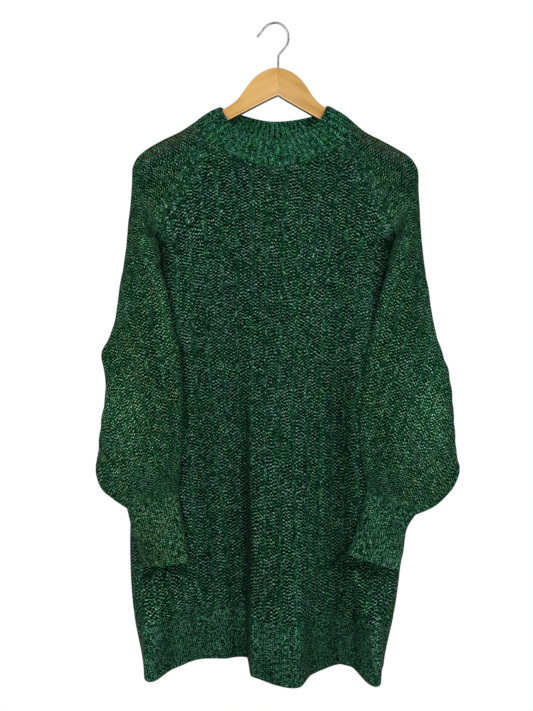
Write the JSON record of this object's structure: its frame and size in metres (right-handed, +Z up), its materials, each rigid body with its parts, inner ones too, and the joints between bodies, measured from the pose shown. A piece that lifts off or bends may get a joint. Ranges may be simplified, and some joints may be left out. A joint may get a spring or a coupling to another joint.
{
  "type": "sweater dress on a wooden hanger",
  "caption": "Long-sleeved open-mesh knit sweater dress with a ribbed mock neck and close-knit cuffs and hem, hanging flat on a split wooden hanger with a wire hook.",
  "frame": {"origin": "inside top of the hook's curve, where the hanger rests on a peg or rail", "axes": "+Z up, the front of the dress faces -Y, +X to the right seen from the front, which is the wearer's left"},
  "size_m": [0.581, 0.1484, 1.0642],
  "materials": {
    "mesh_knit": "openwork ribbed mesh in dark green yarn with metallic thread",
    "close_knit": "close plain knit in the same yarn, fine speckle",
    "rib_knit": "doubled rib in the same yarn",
    "hanger_wood": "honey-coloured wood under clear varnish",
    "hook_steel": "polished steel wire"
  },
  "bodies": {
    "root": {"front": "mesh_knit", "back": "mesh_knit", "sleeve_left": "mesh_knit", "sleeve_right": "mesh_knit", "hem_front": "close_knit", "hem_back": "close_knit", "cuff_left": "close_knit", "cuff_right": "close_knit", "collar": "rib_knit", "hanger_arm_left": "hanger_wood", "hanger_arm_right": "hanger_wood", "hanger_hook": "hook_steel"}
  },
  "joints": []
}
